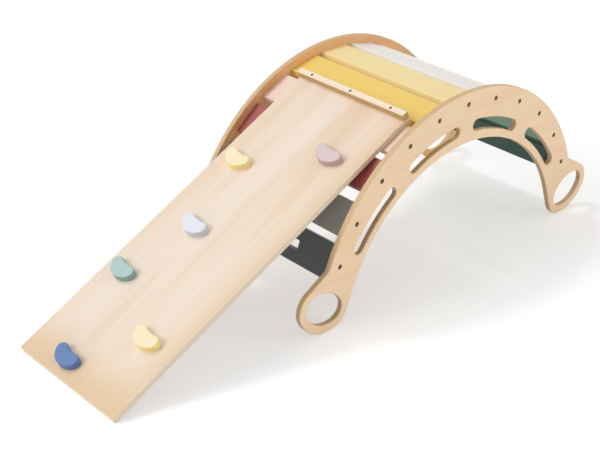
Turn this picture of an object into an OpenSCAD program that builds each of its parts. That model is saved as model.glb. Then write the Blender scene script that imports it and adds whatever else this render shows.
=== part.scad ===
// Climbing and rocking arch for children: coloured slats bolted between two curved side panels,
// with a climbing ramp that hooks onto the slats and stands on the floor.
// Millimetres. X runs along the arch, with the ramp towards -X. Y runs across it. Z is up.
// The origin lies on the floor, under the middle of the whole object's box.

/* [Side panels] */
// Width over both side panels
arch_w = 494; // [450:2:560]
// Height of the top of the side panels
arch_h = 497; // [490:1:510]
// Radius of the outer curve
outer_r = 499; // [492:1:508]
// Clear height under the middle of the inner curve
inner_h = 357.5; // [345:0.5:364]
// Radius of the inner curve
inner_r = 407.5; // [400:0.5:412]
// Thickness of the side panels
panel_t = 15; // [12:1:18]
// Rounding of the side panels' edges
panel_edge_r = 2.5; // [1.5:0.5:4]

/* [Feet] */
// Distance from the middle of the arch to the middle of a foot
foot_x = 481; // [474:1:490]
// Half the length of the oval foot
foot_half_l = 84.2; // [82:0.2:88]
// Half the width of the oval foot
foot_half_w = 65.4; // [63:0.2:68]
// Radius of the foot's two ends
foot_end_r = 56; // [52:1:59]
// Tilt of the foot's long axis
foot_tilt = 25.8; // [20:0.2:30]
// Width of the wood round the hole in the foot
foot_wall = 22.9; // [18:0.1:26]
// Slope of the shoulder above the foot, from level
shoulder_slope = 30; // [26:1:34]
// Radius of the hollow corner where the shoulder meets the outer curve
shoulder_r = 22; // [10:1:30]

/* [Slots] */
// Width of the slots in the side panels
slot_w = 31; // [26:1:34]
// Distance from the outer curve to the middle of a top slot
top_slot_in = 98; // [94:1:100]
// Angle from the top to the near end of a top slot
top_slot_from = 5.9; // [4:0.1:8]
// Angle from the top to the far end of a top slot
top_slot_to = 28; // [24:0.5:30]
// Width of the wood between a side slot and the inner curve
side_slot_wall = 20.8; // [16:0.2:24]
// Angle from the top to the upper end of a side slot
side_slot_from = 36.6; // [35:0.2:40]
// Angle from the top to the lower end of a side slot
side_slot_to = 56.6; // [50:0.2:58]

/* [Slats] */
// Width of a slat
slat_w = 90; // [84:1:96]
// Thickness of a slat
slat_t = 18; // [16:1:21]
// Rounding of a slat's long edges
slat_edge_r = 3; // [1:0.5:5]
// Distance from the outer curve to the slats' middle plane
slat_in = 33; // [30:1:40]
// Length of the hand slot in the lowest slat
hand_slot_l = 222; // [150:2:300]
// Height of the hand slot
hand_slot_h = 25; // [20:1:32]
// Radius of the hand slot's corners
hand_slot_r = 4; // [2:1:8]

/* [Fixings] */
// Diameter of the slat bolts
bolt_d = 6; // [5:1:8]
// Length of the slat bolts under the head
bolt_l = 50; // [48:1:56]
// Diameter of the bolt heads
bolt_head_d = 13; // [11:0.5:16]
// Height of the bolt heads
bolt_head_h = 3.6; // [3:0.2:5]
// Depth of the bolt heads' tops below the wood
bolt_head_in = 0.8; // [0.2:0.2:2]
// Width across the flats of the bolt heads' sockets
bolt_key = 4; // [3:0.5:5]
// Distance from a slat's end to its barrel nuts
nut_in = 32; // [28:1:34]
// Diameter of the barrel nuts
nut_d = 10; // [9:1:12]
// Length of the barrel nuts
nut_l = 14; // [12:1:15]
// Diameter of the dowels beside each bolt
dowel_d = 8; // [6:1:10]
// Length of the dowels
dowel_l = 30; // [24:1:34]
// Depth of the dowels in the side panels
dowel_in = 9; // [7:0.5:10]
// Distance between the two dowels at a slat's end
dowel_pitch = 56; // [44:1:64]

/* [Ramp] */
// Room that the ramp board leaves between the side panels
ramp_room = 94; // [84:2:144]
// Thickness of the ramp board
ramp_t = 15; // [12:1:18]
// Distance of the ramp's middle from the arch's middle
ramp_shift = -13.5; // [-20:0.5:20]
// Radius of the ramp board's corners
ramp_corner_r = 3; // [2:1:10]
// Rounding of the ramp board's edges
ramp_edge_r = 1.5; // [1:0.5:3]
// Height of the strip on the ramp's upper end
strip_h = 18; // [12:1:22]
// Width of the strip
strip_w = 18; // [14:1:24]
// Depth of the hook batten under the board
hook_h = 18; // [14:1:24]
// Distance between the strip's screws
strip_screw_pitch = 138; // [100:1:160]

/* [Holds] */
// Thickness of the climbing holds
hold_t = 18; // [16:1:24]
// Radius of a hold's broad lobe
hold_broad_r = 16.5; // [14:0.5:20]
// Radius of a hold's narrow lobe
hold_narrow_r = 14.5; // [12:0.5:17]
// Distance from the broad lobe's middle to the narrow lobe's middle
hold_pitch = 52; // [46:1:58]
// Radius of a hold's hollow upper edge
hold_hollow_r = 66; // [50:1:90]
// Radius of a hold's bulging lower edge
hold_belly_r = 47; // [44:1:80]
// Slant of a hold on the ramp
hold_slant = 10; // [0:1:40]
// Rounding of a hold's top edges
hold_edge_r = 3; // [2:0.5:6]

/* [Screws and clearances] */
// Diameter of the wood screws
screw_d = 4; // [3:0.5:5]
// Diameter of the wood screws' heads
screw_head_d = 8; // [7:0.5:10]
// Length of the screws that hold each climbing hold
hold_screw_l = 28; // [22:1:30]
// Gap that the ramp keeps to the slats that carry it
seat_gap = 0.3; // [0.2:0.1:0.6]
// Gap on each side of the hook batten between its two slats
hook_gap = 0.6; // [0.3:0.1:2]
// Radial clearance of bolts in wood
bolt_gap = 0.3; // [0.2:0.1:0.5]
// Radial clearance of dowels, nuts and screw threads
snug_gap = 0.05; // [0.03:0.01:0.1]

/* [Hidden] */
$fn = 96;

// Distances between the slats' middles along their curve, from the top slat down to the lowest
slat_steps = [108.2, 108.2, 112.2, 118.7, 109.8];
// The slat that carries the ramp, and the next one up, counted from 0
seat_slat = 3;
hook_slat = 4;
slat_colors = [
  "#3f4a58", "#8f979c", "#8e3540", "#f2d9d6", "#ecd06c", "#f4e1aa",
  "#eceae6", "#efc9a0", "#a4cdc4", "#6e9a8e", "#27594c"
];
// Middle of each climbing hold: distance up the ramp from the toe, distance from the ramp's middle
hold_places = [[50.5, 44], [190.5, -93], [295, 122.5], [484, 58], [694.5, 119], [814, -92]];
hold_colors = ["#5a7fc0", "#f0dc9a", "#a4cdc4", "#e4e8f2", "#f0dc9a", "#cfb2bd"];
wood = "#e6c9a0";
steel = "#a8a8a8";

// Centres of the outer and inner curves
outer_c = [0, arch_h - outer_r];
inner_c = [0, inner_h - inner_r];
slat_l = arch_w - 2 * panel_t;
ramp_w = slat_l - ramp_room;
bolt_seat = bolt_head_in + bolt_head_h;
slat_mid_r = outer_r - slat_in;
// Angle of each slat from the top, from the ramp's side to the far side
function total(v, n) = n == 0 ? 0 : v[n - 1] + total(v, n - 1);
slat_angles = [
  for (i = [-len(slat_steps):len(slat_steps)])
    sign(i) * total(slat_steps, abs(i)) / slat_mid_r * 180 / PI
];
top_slot_r = outer_r - top_slot_in;
side_slot_r = inner_r + side_slot_wall + slot_w / 2;
key_depth = 2.4;
hole_spare = 2;
screw_spare = 4;
cut = 1;
// How far an edge rounding ends inside the faces, in a crisp line. Neighbouring pieces of an outline
// take the two values in turn, starting with the wide one, and overlap by lap.
wide_step = 0.14;
narrow_step = 0.1;
lap = 0.03;

// ---- Points, arcs and closed outlines ----

function unit(a) = [cos(a), sin(a)];
function bearing(v) = atan2(v.y, v.x);
function flip_x(p) = [-p.x, p.y];

// Point at distance rp from p and rq from q, on the right of the way from p to q
function third_point(p, q, rp, rq) =
  let (d = norm(q - p), u = (q - p) / d, along = (rp * rp - rq * rq + d * d) / (2 * d))
  p + along * u + sqrt(rp * rp - along * along) * [u.y, -u.x];

// A piece of an outline: [start, end, centre, radius, from, to, bulges outwards]
function arc(c, r, from, to, out = true) = [c + r * unit(from), c + r * unit(to), c, r, from, to, out];
function line(p, q) = [p, q, p, 0, 0, 0, true];
function flip_piece(s) =
  s[3] > 0 ? arc(flip_x(s[2]), s[3], 180 - s[5], 180 - s[4], s[6]) : line(flip_x(s[1]), flip_x(s[0]));
function flip_outline(o) = [for (i = [len(o) - 1:-1:0]) flip_piece(o[i])];
function steps(r) = r > 150 ? 360 : 96;

// The part of a round piece's circle that lies beyond its chord
module segment_of(s) {
  mid = (s[4] + s[5]) / 2;
  chord = (s[0] + s[1]) / 2;
  intersection() {
    translate(s[2]) circle(s[3], $fn = steps(s[3]));
    translate(chord) rotate(mid) translate([-lap, -2 * s[3]]) square([2 * s[3], 4 * s[3]]);
  }
}

module region(outline) {
  difference() {
    union() {
      polygon([for (i = [len(outline) - 1:-1:0]) outline[i][0]]);
      for (s = outline) if (s[3] > 0 && s[6]) segment_of(s);
    }
    for (s = outline) if (s[3] > 0 && !s[6]) segment_of(s);
  }
}

// What a rounding of radius e takes off an edge whose side face is at x = 0 and top face at y = 0.
// The rounding ends step inside both faces.
module cove(e, step) {
  difference() {
    translate([2 * step - e, 2 * step - e]) square(e + cut);
    translate([-e - step, -e - step]) circle(e, $fn = 48);
  }
}

// Rounds the top edge of a plate of thickness t along one piece of its outline.
// side is 1 where the wood is inside the outline and -1 where the outline is a hole.
module edge_cut(s, t, e, side, step) {
  if (s[3] > 0) {
    more = lap / s[3] * 180 / PI;
    translate(s[2]) rotate(min(s[4], s[5]) - more)
      rotate_extrude(angle = abs(s[5] - s[4]) + 2 * more, $fn = steps(s[3]))
        translate([s[3], t]) mirror([s[6] == (side > 0) ? 0 : 1, 0]) cove(e, step);
  } else {
    way = s[1] - s[0];
    translate(s[0]) rotate(bearing(way)) translate([-lap, 0, t]) rotate([90, 0, 90])
      linear_extrude(norm(way) + 2 * lap) mirror([side > 0 ? 0 : 1, 0]) cove(e, step);
  }
}

module round_edges(outline, t, e, side) {
  for (i = [0:len(outline) - 1]) edge_cut(outline[i], t, e, side, i % 2 == 0 ? wide_step : narrow_step);
}

// A plate with its outline, holes and rounded edges. Outlines run clockwise.
module plate(outline, holes, t, top_e, under_e) {
  difference() {
    linear_extrude(t) difference() {
      region(outline);
      for (h = holes) region(h);
    }
    round_edges(outline, t, top_e, 1);
    for (h = holes) round_edges(h, t, top_e, -1);
    if (under_e > 0) translate([0, 0, t]) mirror([0, 0, 1]) {
      round_edges(outline, t, under_e, 1);
      for (h = holes) round_edges(h, t, under_e, -1);
    }
  }
}

// A bar with rounded long edges, w along X, t along Z and l along Y
module bar(w, t, l, e) {
  rotate([90, 0, 0]) linear_extrude(l, center = true) {
    square([w - 2 * e, t], center = true);
    square([w, t - 2 * e], center = true);
    for (x = [-1, 1], y = [-1, 1]) translate([x * (w / 2 - e), y * (t / 2 - e)]) circle(e, $fn = 48);
  }
}

// ---- Outline of the side panels ----

// A foot is an oval of two small end arcs and two large side arcs that meet without a corner
foot_side_r = (pow(foot_half_l - foot_end_r, 2) + foot_half_w * foot_half_w - foot_end_r * foot_end_r)
  / (2 * (foot_half_w - foot_end_r));
foot_rise = foot_side_r - foot_half_w;
foot_turn = atan2(foot_rise, foot_half_l - foot_end_r);
foot_long = unit(foot_tilt);
foot_short = unit(foot_tilt + 90);
foot_c = [foot_x, foot_side_r - foot_rise * cos(foot_tilt)];
foot_out_c = foot_c + (foot_half_l - foot_end_r) * foot_long;
foot_in_c = foot_c - (foot_half_l - foot_end_r) * foot_long;
foot_sole_c = foot_c + foot_rise * foot_short;
foot_top_c = foot_c - foot_rise * foot_short;

// The straight shoulder is tangent to the foot's outer end, and a hollow arc joins it to the outer curve
shoulder_a = 90 - shoulder_slope;
shoulder_off = foot_out_c * unit(shoulder_a) + foot_end_r;
shoulder_at = shoulder_a
  - acos((shoulder_off + shoulder_r - outer_c * unit(shoulder_a)) / (outer_r + shoulder_r));
shoulder_c = outer_c + (outer_r + shoulder_r) * unit(shoulder_at);

// The straight inner edge is tangent to the inner curve and to the foot's inner end
inner_reach = foot_in_c - inner_c;
inner_a = bearing(inner_reach) + acos((inner_r + foot_end_r) / norm(inner_reach));

panel_side = [
  arc(shoulder_c, shoulder_r, shoulder_at + 180, shoulder_a + 180, false),
  line(shoulder_c - shoulder_r * unit(shoulder_a), foot_out_c + foot_end_r * unit(shoulder_a)),
  arc(foot_out_c, foot_end_r, shoulder_a, foot_tilt - foot_turn),
  arc(foot_sole_c, foot_side_r, foot_tilt - foot_turn, foot_tilt + foot_turn - 180),
  arc(foot_in_c, foot_end_r, foot_tilt + foot_turn - 180, inner_a - 180),
  line(foot_in_c - foot_end_r * unit(inner_a), inner_c + inner_r * unit(inner_a))
];
panel_outline = concat(
  [arc(outer_c, outer_r, 180 - shoulder_at, shoulder_at)],
  panel_side,
  [arc(inner_c, inner_r, inner_a, 180 - inner_a, false)],
  flip_outline(panel_side)
);

foot_hole = [
  arc(foot_out_c, foot_end_r - foot_wall, foot_tilt + foot_turn, foot_tilt - foot_turn),
  arc(foot_sole_c, foot_side_r - foot_wall, foot_tilt - foot_turn, foot_tilt + foot_turn - 180),
  arc(foot_in_c, foot_end_r - foot_wall, foot_tilt + foot_turn - 180, foot_tilt - foot_turn - 180),
  arc(foot_top_c, foot_side_r - foot_wall, foot_tilt + 180 - foot_turn, foot_tilt + foot_turn)
];

// A curved slot about c, between two angles from the top
function slot(c, r, from, to) = [
  arc(c, r + slot_w / 2, 90 - from, 90 - to),
  arc(c + r * unit(90 - to), slot_w / 2, 90 - to, -90 - to),
  arc(c, r - slot_w / 2, 90 - to, 90 - from, false),
  arc(c + r * unit(90 - from), slot_w / 2, 270 - from, 90 - from)
];
side_holes = [
  slot(outer_c, top_slot_r, top_slot_from, top_slot_to),
  slot(inner_c, side_slot_r, side_slot_from, side_slot_to),
  foot_hole
];
panel_holes = concat(side_holes, [for (h = side_holes) flip_outline(h)]);

// ---- Places on the arch and on the ramp ----

// The ramp lies on its seat slat: x up the ramp from that slat's middle, z out from its underside
ramp_slope = -slat_angles[seat_slat];
ramp_r = slat_mid_r + slat_t / 2 + seat_gap;
// Rounding the toe's lower edge lifts it, so the board is that much longer and still meets the floor
toe_lift = min(
  (ramp_edge_r - 2 * wide_step) * sin(ramp_slope),
  (ramp_edge_r + wide_step) * (sin(ramp_slope) + cos(ramp_slope)) - ramp_edge_r
);
toe_x = -(outer_c.y + ramp_r * cos(ramp_slope) + toe_lift) / sin(ramp_slope);
// The hook batten fills the gap between the seat slat and the inner edge of the next one
hook_turn = slat_angles[hook_slat] - slat_angles[seat_slat];
next_slat_x = (slat_mid_r - slat_t / 2) * sin(hook_turn) - slat_w / 2 * cos(hook_turn);
hook_from = slat_w / 2 + hook_gap;
hook_w = next_slat_x - hook_gap - hook_from;
ramp_end_x = hook_from + hook_w;
ramp_l = ramp_end_x - toe_x;

// The object's box along X, from the toe's upper edge to the far feet
box_low_x = toe_x * cos(ramp_slope) - (ramp_r + ramp_t) * sin(ramp_slope) + toe_lift;
box_high_x = foot_out_c.x + foot_end_r;
middle_x = (box_low_x + box_high_x) / 2;

module arch_place() { translate([-middle_x, 0, 0]) children(); }

// On the slats' middle plane at an angle from the top, with z pointing outwards
module slat_place(a) {
  arch_place() translate([0, 0, outer_c.y]) rotate([0, a, 0]) translate([0, 0, slat_mid_r]) children();
}

// On the ramp board's underside, x up the ramp and y from the ramp's middle
module ramp_place() {
  arch_place() translate([0, ramp_shift, outer_c.y]) rotate([0, -ramp_slope, 0])
    translate([0, 0, ramp_r]) children();
}

// Both ends of a slat, with z pointing from the slat's end towards its middle
module slat_ends() {
  for (s = [-1, 1]) translate([0, s * slat_l / 2, 0]) rotate([s * 90, 0, 0]) children();
}

// ---- Side panels ----

// A panel stands on its feet with its outer face at y = 0 and its inner face at y = panel_t
module panel() {
  difference() {
    arch_place() translate([0, panel_t, 0]) rotate([90, 0, 0])
      plate(panel_outline, panel_holes, panel_t, panel_edge_r, panel_edge_r);
    for (a = slat_angles) slat_place(a) rotate([-90, 0, 0]) {
      translate([0, 0, -cut]) cylinder(r = bolt_d / 2 + bolt_gap, h = panel_t + 2 * cut);
      translate([0, 0, -cut]) cylinder(r = bolt_head_d / 2 + bolt_gap, h = bolt_seat + cut);
      for (x = [-1, 1]) translate([x * dowel_pitch / 2, 0, panel_t - dowel_in - cut])
        cylinder(r = dowel_d / 2 + snug_gap, h = dowel_in + 2 * cut);
    }
  }
}

module panel_near() { color(wood) translate([0, -arch_w / 2, 0]) panel(); }
module panel_far() { color(wood) mirror([0, 1, 0]) translate([0, -arch_w / 2, 0]) panel(); }

// ---- Slats ----

function box_outline(l, w, r) = [
  line([-l / 2 + r, w / 2], [l / 2 - r, w / 2]),
  arc([l / 2 - r, w / 2 - r], r, 90, 0),
  line([l / 2, w / 2 - r], [l / 2, r - w / 2]),
  arc([l / 2 - r, r - w / 2], r, 0, -90),
  line([l / 2 - r, -w / 2], [r - l / 2, -w / 2]),
  arc([r - l / 2, r - w / 2], r, -90, -180),
  line([-l / 2, r - w / 2], [-l / 2, w / 2 - r]),
  arc([r - l / 2, w / 2 - r], r, 180, 90)
];

module slat(i) {
  color(slat_colors[i]) slat_place(slat_angles[i]) difference() {
    bar(slat_w, slat_t, slat_l, slat_edge_r);
    slat_ends() {
      translate([0, 0, -cut])
        cylinder(r = bolt_d / 2 + bolt_gap, h = bolt_seat + bolt_l - panel_t + hole_spare + cut);
      for (x = [-1, 1]) translate([x * dowel_pitch / 2, 0, -cut])
        cylinder(r = dowel_d / 2 + snug_gap, h = dowel_l - dowel_in + 2 * cut);
    }
    for (s = [-1, 1]) translate([0, s * (slat_l / 2 - nut_in), -slat_t / 2 - cut])
      cylinder(r = nut_d / 2 + snug_gap, h = (slat_t + nut_l) / 2 + 2 * cut);
    if (i == 0) hand_slot();
  }
}

// The hand slot goes through the lowest slat on the ramp's side
module hand_slot() {
  translate([0, 0, -slat_t / 2 - cut]) linear_extrude(slat_t + 2 * cut)
    region(box_outline(hand_slot_h, hand_slot_l, hand_slot_r));
}

// ---- Fixings of the slats ----

module bolt() {
  difference() {
    union() {
      cylinder(r = bolt_head_d / 2, h = bolt_head_h);
      cylinder(r = bolt_d / 2, h = bolt_head_h + bolt_l);
    }
    translate([0, 0, -cut]) cylinder(r = bolt_key / sqrt(3), h = key_depth + cut, $fn = 6);
  }
}

// The bolts' heads are just under the near panel's outer face
module bolts() {
  for (a = slat_angles) slat_place(a) translate([0, -arch_w / 2 + bolt_head_in, 0])
    rotate([-90, 0, 0]) bolt();
}

module bolts_near() { color(steel) bolts(); }
module bolts_far() { color(steel) mirror([0, 1, 0]) bolts(); }

module barrel_nuts() {
  color(steel) for (a = slat_angles, s = [-1, 1])
    slat_place(a) translate([0, s * (slat_l / 2 - nut_in), -nut_l / 2]) difference() {
      cylinder(r = nut_d / 2, h = nut_l);
      translate([0, 0, nut_l / 2]) rotate([90, 0, 0])
        cylinder(r = bolt_d / 2 + snug_gap, h = nut_d + 2 * cut, center = true);
    }
}

module slat_dowels() {
  color(wood) for (a = slat_angles) slat_place(a) slat_ends()
    for (x = [-1, 1]) translate([x * dowel_pitch / 2, 0, -dowel_in]) cylinder(r = dowel_d / 2, h = dowel_l);
}

// ---- Ramp ----

module screw(l) {
  cylinder(r1 = screw_head_d / 2, r2 = screw_d / 2, h = (screw_head_d - screw_d) / 2);
  cylinder(r = screw_d / 2, h = l);
}

module screw_hole(l) {
  translate([0, 0, -cut]) cylinder(r = screw_d / 2 + snug_gap, h = l + 2 * cut);
}

// The strip's screws go down through the strip and the board into the hook batten
strip_x = ramp_end_x - strip_w / 2;
strip_screw_in = hook_h - screw_spare;
strip_screw_l = strip_h + ramp_t + strip_screw_in;
module strip_screw_places() {
  ramp_place() for (k = [-1:1]) translate([strip_x, k * strip_screw_pitch, ramp_t + strip_h])
    rotate([180, 0, 0]) children();
}

// Each hold has two screws, up through the board into the middles of its lobes
function hold_x(i) = toe_x + hold_places[i].x;
hold_broad_c = [-hold_pitch / 2 * sin(hold_slant), -hold_pitch / 2 * cos(hold_slant)];
hold_narrow_c = -hold_broad_c;
module hold_place(i) { ramp_place() translate([hold_x(i), hold_places[i].y, 0]) children(); }
module hold_screw_places(i) {
  hold_place(i) for (c = [hold_broad_c, hold_narrow_c]) translate(c) children();
}

module ramp_board() {
  color(wood) difference() {
    ramp_place() translate([toe_x + ramp_l / 2, 0, 0])
      plate(box_outline(ramp_l, ramp_w, ramp_corner_r), [], ramp_t, ramp_edge_r, ramp_edge_r);
    strip_screw_places() translate([0, 0, strip_h]) screw_hole(ramp_t);
    for (i = [0:len(hold_places) - 1]) hold_screw_places(i) {
      screw_hole(ramp_t);
      translate([0, 0, -snug_gap]) screw_head_cut();
    }
  }
}

// The countersink for a screw head, snug all round
module screw_head_cut() {
  r = screw_head_d / 2 + snug_gap;
  cylinder(r1 = r + snug_gap, r2 = screw_d / 2 + snug_gap, h = r + snug_gap - screw_d / 2);
}

module ramp_top_strip() {
  color(wood) difference() {
    ramp_place() translate([strip_x, 0, ramp_t + strip_h / 2])
      bar(strip_w, strip_h, ramp_w, ramp_edge_r);
    strip_screw_places() {
      screw_hole(strip_h);
      translate([0, 0, -snug_gap]) screw_head_cut();
    }
  }
}

module ramp_hook_batten() {
  color(wood) difference() {
    ramp_place() translate([hook_from + hook_w / 2, 0, -hook_h / 2])
      bar(hook_w, hook_h, ramp_w, ramp_edge_r);
    strip_screw_places() translate([0, 0, strip_h + ramp_t]) screw_hole(strip_screw_in);
  }
}

module strip_screws() { color(steel) strip_screw_places() screw(strip_screw_l); }

// ---- Climbing holds ----

// Two lobes, joined by a bulging edge towards the toe and a hollow edge up the ramp
hold_hollow_c = third_point(
  hold_broad_c, hold_narrow_c, hold_hollow_r + hold_broad_r, hold_hollow_r + hold_narrow_r
);
hold_belly_c = third_point(
  hold_broad_c, hold_narrow_c, hold_belly_r - hold_broad_r, hold_belly_r - hold_narrow_r
);
function turn_down(a, limit) =
  a > limit ? turn_down(a - 360, limit) :
  a <= limit - 360 ? turn_down(a + 360, limit) : a;
hold_outline = let (
  a1 = bearing(hold_narrow_c - hold_belly_c),
  a2 = turn_down(bearing(hold_hollow_c - hold_narrow_c), a1),
  b1 = bearing(hold_hollow_c - hold_broad_c),
  b2 = turn_down(bearing(hold_broad_c - hold_belly_c), b1)
) [
  arc(hold_narrow_c, hold_narrow_r, a1, a2),
  arc(hold_hollow_c, hold_hollow_r, a2 - 180, turn_down(b1 + 180, a2 + 180), false),
  arc(hold_broad_c, hold_broad_r, b1, b2),
  arc(hold_belly_c, hold_belly_r, b2, turn_down(a1, b2))
];

module hold(i) {
  color(hold_colors[i]) difference() {
    hold_place(i) translate([0, 0, ramp_t]) plate(hold_outline, [], hold_t, hold_edge_r, 0);
    hold_screw_places(i) translate([0, 0, ramp_t]) screw_hole(hold_screw_l - ramp_t);
  }
}

module hold_screws() {
  color(steel) for (i = [0:len(hold_places) - 1]) hold_screw_places(i) screw(hold_screw_l);
}

panel_near();
panel_far();
slat(0);  // slat_1
slat(1);  // slat_2
slat(2);  // slat_3
slat(3);  // slat_4
slat(4);  // slat_5
slat(5);  // slat_6
slat(6);  // slat_7
slat(7);  // slat_8
slat(8);  // slat_9
slat(9);  // slat_10
slat(10);  // slat_11
bolts_near();
bolts_far();
barrel_nuts();
slat_dowels();
ramp_board();
ramp_top_strip();
ramp_hook_batten();
strip_screws();
hold(0);  // hold_1
hold(1);  // hold_2
hold(2);  // hold_3
hold(3);  // hold_4
hold(4);  // hold_5
hold(5);  // hold_6
hold_screws();
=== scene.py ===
import logging
import math
from dataclasses import dataclass, field
from enum import Enum
from typing import Any, Dict, List, Sequence, Tuple, Union

import bmesh
import bpy
import numpy as np
from mathutils import Matrix, Vector


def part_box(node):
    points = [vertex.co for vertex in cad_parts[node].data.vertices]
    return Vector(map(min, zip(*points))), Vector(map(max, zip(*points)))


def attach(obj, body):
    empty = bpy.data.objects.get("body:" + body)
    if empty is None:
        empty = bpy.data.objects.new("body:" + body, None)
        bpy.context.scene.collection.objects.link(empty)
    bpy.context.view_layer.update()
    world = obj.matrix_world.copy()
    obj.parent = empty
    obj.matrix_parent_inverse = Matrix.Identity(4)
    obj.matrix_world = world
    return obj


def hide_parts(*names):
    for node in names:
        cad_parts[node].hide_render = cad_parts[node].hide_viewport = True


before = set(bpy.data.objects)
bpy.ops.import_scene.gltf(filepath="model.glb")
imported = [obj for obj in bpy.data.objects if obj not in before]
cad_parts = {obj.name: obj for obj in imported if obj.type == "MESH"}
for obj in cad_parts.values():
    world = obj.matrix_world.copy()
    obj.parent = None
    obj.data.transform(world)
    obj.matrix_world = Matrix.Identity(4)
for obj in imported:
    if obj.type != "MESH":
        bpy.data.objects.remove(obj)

log = logging.getLogger("rocker_arch")
Color = Tuple[float, float, float, float]
Triple = Tuple[float, float, float]
Tree = bpy.types.NodeTree
Socket = bpy.types.NodeSocket
Tone = Union[Color, Socket]
Material = bpy.types.Material
Object = bpy.types.Object
MM = 0.001

# Kinds of node that are used often
MATH = "ShaderNodeMath"
NOISE = "ShaderNodeTexNoise"
# It takes a value, two values to compare it with, and what those two become
RANGE = "ShaderNodeMapRange"
# Settings with which it eases in and out
EASED = {"interpolation_type": "SMOOTHSTEP"}
# For colours it takes the second one's share as input 0 and the two as inputs 6 and 7, and gives
# the mixed colour as output 2
MIX = "ShaderNodeMix"


def linear(hex_color: str) -> Color:
    """Turns an sRGB colour into the linear values that shaders take.

    Args:
        hex_color: colour such as "#e6c9a0".

    Returns:
        Linear red, green, blue and an alpha of 1.
    """
    channels = [int(hex_color[i : i + 2], 16) / 255 for i in (1, 3, 5)]
    values = [c / 12.92 if c <= 0.04045 else ((c + 0.055) / 1.055) ** 2.4 for c in channels]
    return (values[0], values[1], values[2], 1.0)


def add_node(
    tree: Tree, kind: str, inputs: Union[Dict[Any, Any], Sequence[Any]] = (), **settings: Any
) -> bpy.types.Node:
    """Adds one node with its values, links and settings.

    Args:
        tree: node tree that takes the node.
        kind: Blender's name of the node type.
        inputs: what its inputs take, in their order or by name or number: a value, or another
            node's output.
        settings: the node's own properties.

    Returns:
        The new node.
    """
    node = tree.nodes.new(kind)
    for name, value in settings.items():
        setattr(node, name, value)
    for key, value in inputs.items() if isinstance(inputs, dict) else enumerate(inputs):
        if isinstance(value, Socket):
            tree.links.new(value, node.inputs[key])
        else:
            node.inputs[key].default_value = value
    return node


def empty_material(name: str) -> Material:
    """Makes a material whose node tree is empty.

    Args:
        name: name of the material.

    Returns:
        The material.
    """
    material = bpy.data.materials.new(name)
    material.use_nodes = True
    material.node_tree.nodes.clear()
    return material


def linked(name: str, data: bpy.types.ID) -> Object:
    """Makes an object in the scene.

    Args:
        name: name of the object.
        data: its mesh, lamp or lens.

    Returns:
        The object.
    """
    made = bpy.data.objects.new(name, data)
    bpy.context.scene.collection.objects.link(made)
    return made


def node_points(node: str) -> np.ndarray:
    """Reads the vertices of a CAD node.

    Args:
        node: name of the CAD node.

    Returns:
        Their places in metres, one row each.
    """
    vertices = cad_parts[node].data.vertices
    points = np.empty(len(vertices) * 3)
    vertices.foreach_get("co", points)
    return points.reshape(-1, 3)


def node_solids(node: str) -> List[np.ndarray]:
    """Splits a CAD node that holds several solids.

    Args:
        node: name of the CAD node.

    Returns:
        The points of each solid, in the order of their middles along X and then Y.
    """
    mesh = bmesh.new()
    mesh.from_mesh(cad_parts[node].data)
    bmesh.ops.remove_doubles(mesh, verts=mesh.verts, dist=1e-6)
    left = set(mesh.verts)
    solids: List[np.ndarray] = []
    while left:
        reached = [left.pop()]
        for vertex in reached:
            for edge in vertex.link_edges:
                other = edge.other_vert(vertex)
                if other in left:
                    left.remove(other)
                    reached.append(other)
        solids.append(np.array([v.co for v in reached]))
    mesh.free()
    return sorted(solids, key=lambda p: (round(float(p[:, 0].mean()), 3), float(p[:, 1].mean())))


def dress(node: str, material: Material) -> None:
    """Gives a CAD node its finish.

    Args:
        node: name of the CAD node.
        material: finish for all of its material slots.
    """
    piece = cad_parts[node]
    if not piece.material_slots:
        piece.data.materials.append(material)
    for material_slot in piece.material_slots:
        material_slot.material = material
    log.info("%s: %s", node, material.name)


# ---- Finishes ----


@dataclass(frozen=True)
class Grain:
    """How a piece of wood lies in its object: its own axes, where X follows the grain.

    Attributes:
        turn: rotation in degrees from the object's axes to the wood's own.
        middle: distance of the board's middle plane from the origin, along the wood's own Z.
    """

    turn: Triple
    middle: float = 0.0

    def radians(self) -> Triple:
        """Returns the turn in radians."""
        return (math.radians(self.turn[0]), math.radians(self.turn[1]), math.radians(self.turn[2]))

    def place(self, tree: Tree) -> Socket:
        """Adds the nodes of the place along the wood's own axes.

        Args:
            tree: the material's node tree.

        Returns:
            The place in metres.
        """
        place = add_node(tree, "ShaderNodeTexCoord").outputs["Object"]
        inputs = {"Vector": place, "Rotation": self.radians(), "Location": (0, 0, -self.middle)}
        return add_node(tree, "ShaderNodeMapping", inputs).outputs[0]

    def facing(self, tree: Tree) -> Socket:
        """Adds the nodes that say how far the surface looks along the wood's own Z.

        Args:
            tree: the material's node tree.

        Returns:
            1 where it looks along Z, 0 where it looks across and -1 where it looks the other way.
        """
        normal = add_node(tree, "ShaderNodeTexCoord").outputs["Normal"]
        inputs = {"Vector": normal, "Rotation": self.radians()}
        own = add_node(tree, "ShaderNodeMapping", inputs, vector_type="NORMAL").outputs[0]
        return add_node(tree, "ShaderNodeSeparateXYZ", (own,)).outputs["Z"]


def grain_streaks(
    tree: Tree, own: Socket, along: float, across: float, noise: Dict[str, float]
) -> Socket:
    """Adds the nodes of streaks that run along the grain.

    Args:
        tree: the material's node tree.
        own: place along the wood's own axes.
        along: streaks in a metre along the grain.
        across: streaks in a metre across the grain.
        noise: detail, roughness and distortion of their noise.

    Returns:
        The streaks, from 0 to 1.
    """
    inputs = {"Vector": own, "Scale": (along, across, across)}
    place = add_node(tree, "ShaderNodeMapping", inputs).outputs[0]
    return add_node(tree, NOISE, {"Vector": place, "Scale": 1.0, **noise}).outputs["Fac"]


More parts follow.
